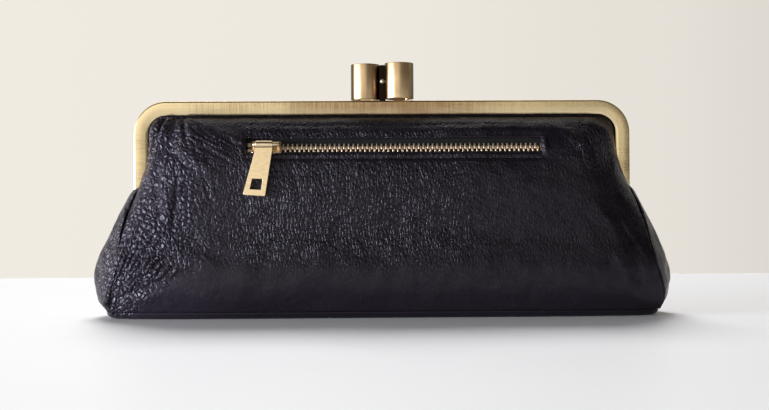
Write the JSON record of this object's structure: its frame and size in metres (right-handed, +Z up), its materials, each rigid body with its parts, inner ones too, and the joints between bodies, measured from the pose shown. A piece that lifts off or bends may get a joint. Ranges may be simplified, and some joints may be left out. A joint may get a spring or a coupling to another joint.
{
  "type": "kiss lock frame purse",
  "caption": "Soft leather purse on a hinged brass frame with a tubular snap clasp, a flat gusseted base, and a zip pocket with a hanging pull in its front panel.",
  "frame": {"origin": "middle of the flat base, on the floor that the purse stands on", "axes": "+X along the frame to the right seen from the front, -Y out of the front panel with the zip, +Z up to the clasp"},
  "size_m": [0.29, 0.0584, 0.127],
  "materials": {
    "frame_brass": "antique brass, brushed across the band",
    "clasp_brass": "satin brass",
    "bead_steel": "polished",
    "black_leather": "pebble-grained, semi-gloss",
    "lining_cloth": "plain weave",
    "paper": "twisted paper and board",
    "zip_tape": "woven tape",
    "zip_gold": "polished light gold plate"
  },
  "bodies": {
    "pouch": {"front_panel_lower": "black_leather", "rear_panel_lower": "black_leather", "left_gusset": "black_leather", "right_gusset": "black_leather", "base_panel": "black_leather", "base_board": "paper", "lower_lining": "lining_cloth"},
    "front_half": {"front_frame": "frame_brass", "front_crimp_cord": "paper", "front_clasp_arm": "frame_brass", "front_clasp_tube": "clasp_brass", "front_panel": "black_leather", "front_lining": "lining_cloth", "zip_pocket": "lining_cloth", "zip_tape_upper": "zip_tape", "zip_tape_lower": "zip_tape", "zip_teeth_upper": "zip_gold", "zip_teeth_lower": "zip_gold", "zip_top_stops": "zip_gold", "zip_bottom_stop": "zip_gold"},
    "rear_half": {"rear_frame": "frame_brass", "rear_crimp_cord": "paper", "rear_clasp_arm": "frame_brass", "rear_clasp_tube": "clasp_brass", "catch_bead": "bead_steel", "rear_panel": "black_leather", "rear_lining": "lining_cloth", "hinge_rivets": "frame_brass"},
    "slider": {"zip_slider": "zip_gold"},
    "pull": {"zip_pull": "zip_gold"}
  },
  "joints": [
    {"name": "front_open", "type": "hinge", "parent": "pouch", "child": "front_half", "pos_m": [0, 0, 0.046], "axis": [1, 0, 0], "range_deg": [0, 35]},
    {"name": "rear_open", "type": "hinge", "parent": "pouch", "child": "rear_half", "pos_m": [0, 0, 0.046], "axis": [1, 0, 0], "range_deg": [-35, 0]},
    {"name": "zip_slide", "type": "slide", "parent": "front_half", "child": "slider", "axis": [1, 0, 0], "range_m": [0, 0.1273], "deforming": ["zip_teeth_upper", "zip_teeth_lower", "zip_tape_upper", "zip_tape_lower"]},
    {"name": "pull_swing", "type": "hinge", "parent": "slider", "child": "pull", "pos_m": [-0.0583, -0.02474, 0.08507], "axis": [-1, 0, 0], "range_deg": [0, 190]}
  ],
  "couplings": [
    {"joint": "rear_open", "follows": "front_open", "ratio": -1}
  ]
}
